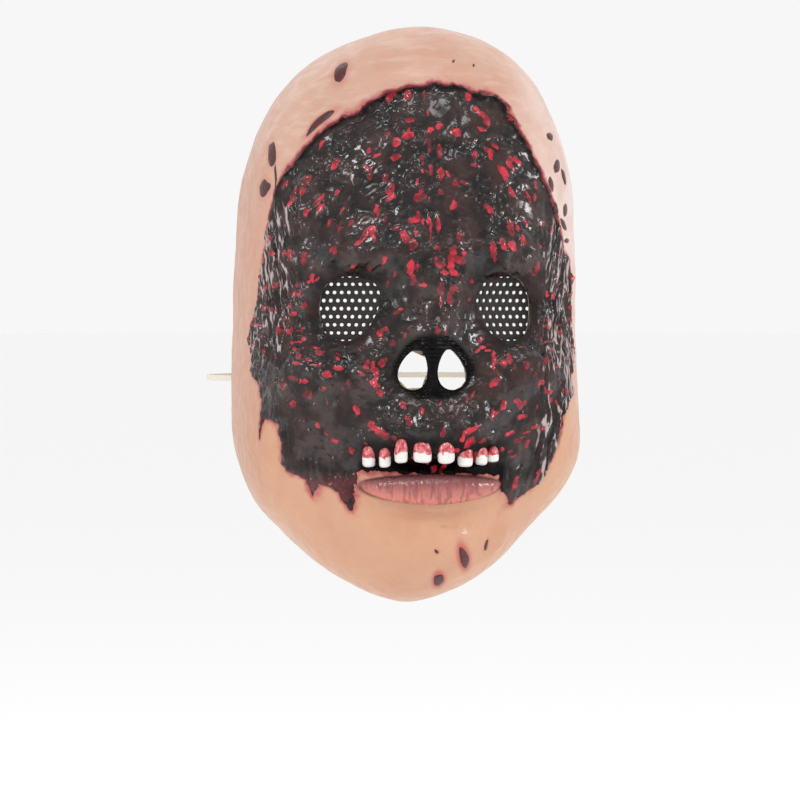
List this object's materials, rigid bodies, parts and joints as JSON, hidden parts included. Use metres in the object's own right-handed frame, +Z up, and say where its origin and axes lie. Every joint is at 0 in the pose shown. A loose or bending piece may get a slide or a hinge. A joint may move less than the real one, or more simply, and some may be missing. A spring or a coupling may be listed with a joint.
{
  "type": "zombie mask",
  "caption": "Front-of-face latex costume mask with a burnt skull-like wound, open eye and nostril holes, mesh behind the eyes and an elastic round the back of the head.",
  "frame": {"origin": "middle of the wearer's head, level with the eye holes, where the mask is held", "axes": "+Z up, the face looks along -Y, +X to the right of someone who looks at the face"},
  "size_m": [0.1614, 0.1884, 0.2428],
  "materials": {
    "painted_latex": "satin, with a glossy charred wound",
    "raw_latex": "matt, unpainted",
    "eye_mesh": "matt",
    "elastic": "matt, woven"
  },
  "bodies": {
    "root": {"latex_face": "painted_latex", "eye_mesh_left": "eye_mesh", "eye_mesh_right": "eye_mesh", "elastic_strap": "elastic", "strap_patch_left": "raw_latex", "strap_patch_right": "raw_latex"}
  },
  "joints": []
}
